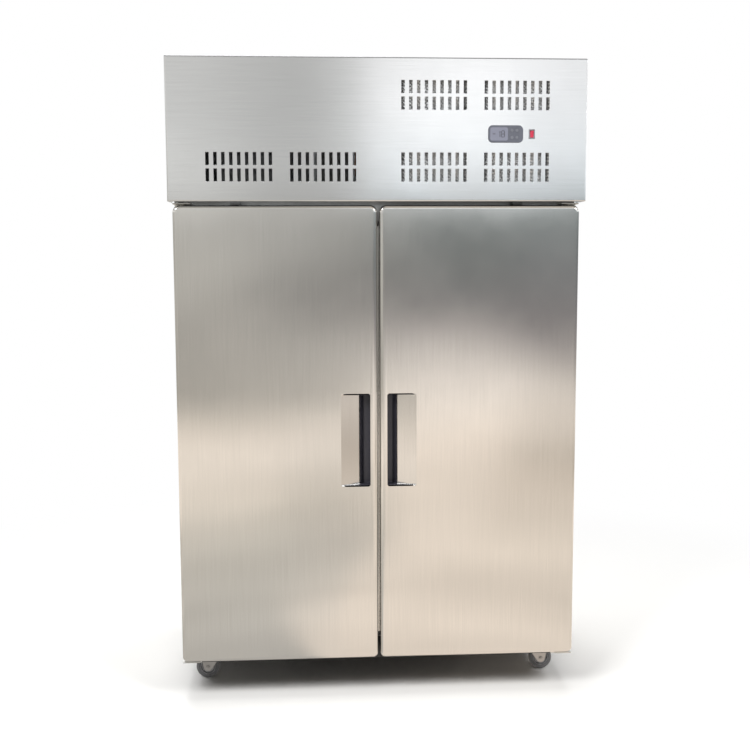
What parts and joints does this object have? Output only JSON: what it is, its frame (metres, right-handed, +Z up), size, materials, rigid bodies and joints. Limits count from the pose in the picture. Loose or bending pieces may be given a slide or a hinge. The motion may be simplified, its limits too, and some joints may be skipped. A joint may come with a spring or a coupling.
{
  "type": "blast freezer",
  "caption": "Upright two-door stainless blast freezer cabinet on castors, with recessed pulls and a louvred fascia over the cooling unit.",
  "frame": {"origin": "on the floor, under the middle of the whole cabinet's box", "axes": "+X to the right seen from the front, the doors face -Y, +Z up"},
  "size_m": [1.22, 0.764, 1.915],
  "materials": {
    "stainless_outer": "brushed stainless steel, fine horizontal grain",
    "stainless_inner": "stainless steel, dull",
    "stainless_pull": "stainless steel, pressed",
    "galvanised": "galvanised steel, dull",
    "zinc": "zinc plated steel",
    "foam": null,
    "breaker_plastic": "light grey plastic",
    "white_plastic": "white plastic",
    "grey_plastic": "grey plastic",
    "black_plastic": "black plastic",
    "gasket_rubber": "grey soft vinyl",
    "nylon": "natural nylon",
    "coated_wire": "light grey plastic coated wire",
    "aluminium_fins": "aluminium fins",
    "motor_black": "black paint",
    "compressor_black": "black enamel, half gloss",
    "copper": null,
    "box_grey": "grey powder coat",
    "wheel_rubber": "dark grey rubber",
    "display_gloss": "dark blue-grey window, high gloss",
    "switch_black": "black plastic",
    "rocker_red": "red translucent plastic"
  },
  "bodies": {
    "cabinet": {"back_panel": "galvanised", "base_pan": "galvanised", "breaker_strips": "breaker_plastic", "castor_forks_rear": "zinc", "castor_plates": "zinc", "centre_mullion": "stainless_outer", "compressor": "compressor_black", "condenser_coil": "aluminium_fins", "condenser_shroud": "galvanised", "copper_pipes": "copper", "door_switches": "grey_plastic", "drain_duct": "white_plastic", "electrical_box": "box_grey", "evaporator_coil": "aluminium_fins", "evaporator_housing": "stainless_inner", "fan_motors": "motor_black", "fascia_pivots": "zinc", "hinge_brackets": "zinc", "hinge_pins": "zinc", "insulation_foam": "foam", "liner_ceiling": "stainless_inner", "liner_floor": "stainless_inner", "liner_walls": "stainless_inner", "machine_deck": "galvanised", "rear_grille": "galvanised", "shelf_clips": "stainless_inner", "shelf_pilasters": "stainless_inner", "shelves_left": "coated_wire", "shelves_right": "coated_wire", "side_panel_left": "stainless_outer", "side_panel_right": "stainless_outer", "top_cover": "stainless_outer", "unit_base": "galvanised"},
    "door_left": {"door_skin_left": "stainless_outer", "handle_scoop_left": "stainless_pull", "door_foam_left": "foam", "door_liner_left": "stainless_inner", "door_gasket_left": "gasket_rubber", "door_bushes_left": "nylon"},
    "door_right": {"door_skin_right": "stainless_outer", "handle_scoop_right": "stainless_pull", "door_foam_right": "foam", "door_liner_right": "stainless_inner", "door_gasket_right": "gasket_rubber", "door_bushes_right": "nylon"},
    "fascia": {"fascia_panel": "stainless_outer", "controller_case": "black_plastic", "controller_lens": "display_gloss", "power_switch_case": "switch_black"},
    "rocker": {"power_rocker": "rocker_red"},
    "rotor_left": {"evaporator_fan_left": "black_plastic"},
    "rotor_right": {"evaporator_fan_right": "black_plastic"},
    "rotor_condenser": {"condenser_fan": "black_plastic"},
    "fork_left": {"castor_fork_left": "zinc"},
    "fork_right": {"castor_fork_right": "zinc"},
    "wheel_front_left": {"castor_wheel_front_left": "wheel_rubber"},
    "wheel_front_right": {"castor_wheel_front_right": "wheel_rubber"},
    "wheel_rear_left": {"castor_wheel_rear_left": "wheel_rubber"},
    "wheel_rear_right": {"castor_wheel_rear_right": "wheel_rubber"}
  },
  "joints": [
    {"name": "door_left_hinge", "type": "hinge", "parent": "cabinet", "child": "door_left", "pos_m": [-0.58, -0.319, 0.808], "axis": [0, 0, 1], "range_deg": [-110, 0]},
    {"name": "door_right_hinge", "type": "hinge", "parent": "cabinet", "child": "door_right", "pos_m": [0.58, -0.319, 0.808], "axis": [0, 0, 1], "range_deg": [0, 110]},
    {"name": "fascia_hinge", "type": "hinge", "parent": "cabinet", "child": "fascia", "pos_m": [0, -0.268, 1.907], "axis": [1, 0, 0], "range_deg": [-80, 0]},
    {"name": "rocker_tilt", "type": "hinge", "parent": "fascia", "child": "rocker", "pos_m": [0.447, -0.376, 1.699], "axis": [1, 0, 0], "range_deg": [-20, 0]},
    {"name": "evaporator_fan_left_spin", "type": "hinge", "parent": "cabinet", "child": "rotor_left", "pos_m": [-0.17, -0.042, 1.321], "axis": [0, 1, 0], "continuous": true},
    {"name": "evaporator_fan_right_spin", "type": "hinge", "parent": "cabinet", "child": "rotor_right", "pos_m": [0.17, -0.042, 1.321], "axis": [0, 1, 0], "continuous": true},
    {"name": "condenser_fan_spin", "type": "hinge", "parent": "cabinet", "child": "rotor_condenser", "pos_m": [0.275, -0.14, 1.688], "axis": [0, 1, 0], "continuous": true},
    {"name": "castor_swivel_left", "type": "hinge", "parent": "cabinet", "child": "fork_left", "pos_m": [-0.518, -0.158, 0.0805], "axis": [0, 0, 1], "continuous": true},
    {"name": "front_wheel_left", "type": "hinge", "parent": "fork_left", "child": "wheel_front_left", "pos_m": [-0.54, -0.158, 0.0375], "axis": [0, 1, 0], "continuous": true},
    {"name": "rear_wheel_left", "type": "hinge", "parent": "cabinet", "child": "wheel_rear_left", "pos_m": [-0.518, 0.292, 0.0375], "axis": [1, 0, 0], "continuous": true},
    {"name": "castor_swivel_right", "type": "hinge", "parent": "cabinet", "child": "fork_right", "pos_m": [0.518, -0.158, 0.0805], "axis": [0, 0, 1], "continuous": true},
    {"name": "front_wheel_right", "type": "hinge", "parent": "fork_right", "child": "wheel_front_right", "pos_m": [0.54, -0.158, 0.0375], "axis": [0, 1, 0], "continuous": true},
    {"name": "rear_wheel_right", "type": "hinge", "parent": "cabinet", "child": "wheel_rear_right", "pos_m": [0.518, 0.292, 0.0375], "axis": [1, 0, 0], "continuous": true}
  ]
}
